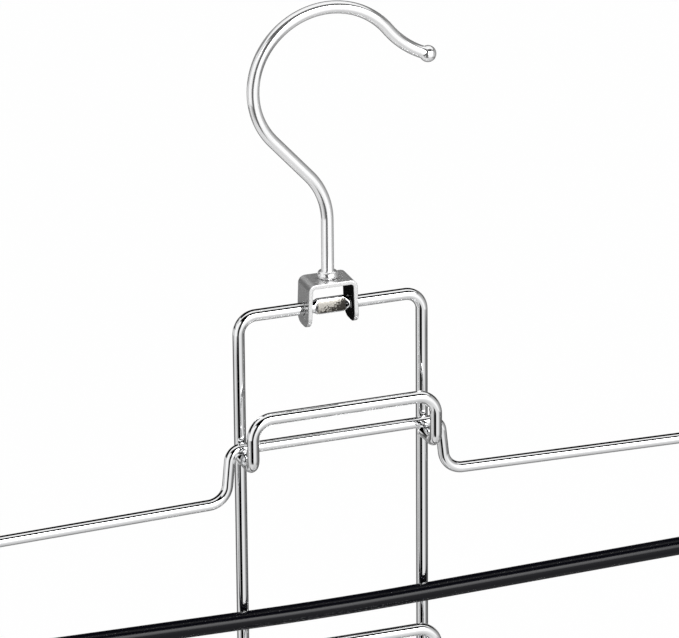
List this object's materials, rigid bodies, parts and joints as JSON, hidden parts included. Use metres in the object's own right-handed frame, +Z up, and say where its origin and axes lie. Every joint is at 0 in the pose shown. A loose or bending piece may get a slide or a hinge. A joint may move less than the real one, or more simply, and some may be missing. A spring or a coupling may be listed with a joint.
{
  "type": "multi tier trouser hanger",
  "caption": "Chromed wire hanger for trousers: a fold-down swivel hook on a narrow frame whose sleeved tiers swing forward and up.",
  "frame": {"origin": "the rail's seat, on the inner side of the hook's crown above the middle of the frame", "axes": "+Z up along the hanging hanger, -Y towards the front that the tiers swing out of, +X to the right seen from the front"},
  "size_m": [0.3596, 0.0208, 0.4986],
  "materials": {
    "chrome": "bright chrome plate on steel wire",
    "black_sleeve": "black non-slip plastic with a soft gloss"
  },
  "bodies": {
    "hanger_frame": {"frame_wire": "chrome", "cradle_1": "chrome", "cradle_2": "chrome", "cradle_3": "chrome", "cradle_4": "chrome"},
    "clevis": {"clevis": "chrome"},
    "hook": {"hook": "chrome"},
    "tier_1": {"tier_wire_1": "chrome", "trouser_sleeve_1": "black_sleeve"},
    "tier_2": {"tier_wire_2": "chrome", "trouser_sleeve_2": "black_sleeve"},
    "tier_3": {"tier_wire_3": "chrome", "trouser_sleeve_3": "black_sleeve"},
    "tier_4": {"tier_wire_4": "chrome", "trouser_sleeve_4": "black_sleeve"}
  },
  "joints": [
    {"name": "hook_fold", "type": "hinge", "parent": "hanger_frame", "child": "clevis", "pos_m": [-0.00084, 0, -0.10248], "axis": [1, 0, 0], "range_deg": [-170, 150]},
    {"name": "hook_swivel", "type": "hinge", "parent": "clevis", "child": "hook", "pos_m": [-0.00084, 0, -0.0935], "axis": [0, 0, 1], "continuous": true},
    {"name": "tier_1_swing", "type": "hinge", "parent": "hanger_frame", "child": "tier_1", "pos_m": [0, -0.00425, -0.14813], "axis": [-1, 0, 0], "range_deg": [0, 150]},
    {"name": "tier_2_swing", "type": "hinge", "parent": "hanger_frame", "child": "tier_2", "pos_m": [0, -0.00425, -0.23413], "axis": [-1, 0, 0], "range_deg": [0, 150]},
    {"name": "tier_3_swing", "type": "hinge", "parent": "hanger_frame", "child": "tier_3", "pos_m": [0, -0.00425, -0.32013], "axis": [-1, 0, 0], "range_deg": [0, 150]},
    {"name": "tier_4_swing", "type": "hinge", "parent": "hanger_frame", "child": "tier_4", "pos_m": [0, -0.00425, -0.40613], "axis": [-1, 0, 0], "range_deg": [0, 150]}
  ]
}
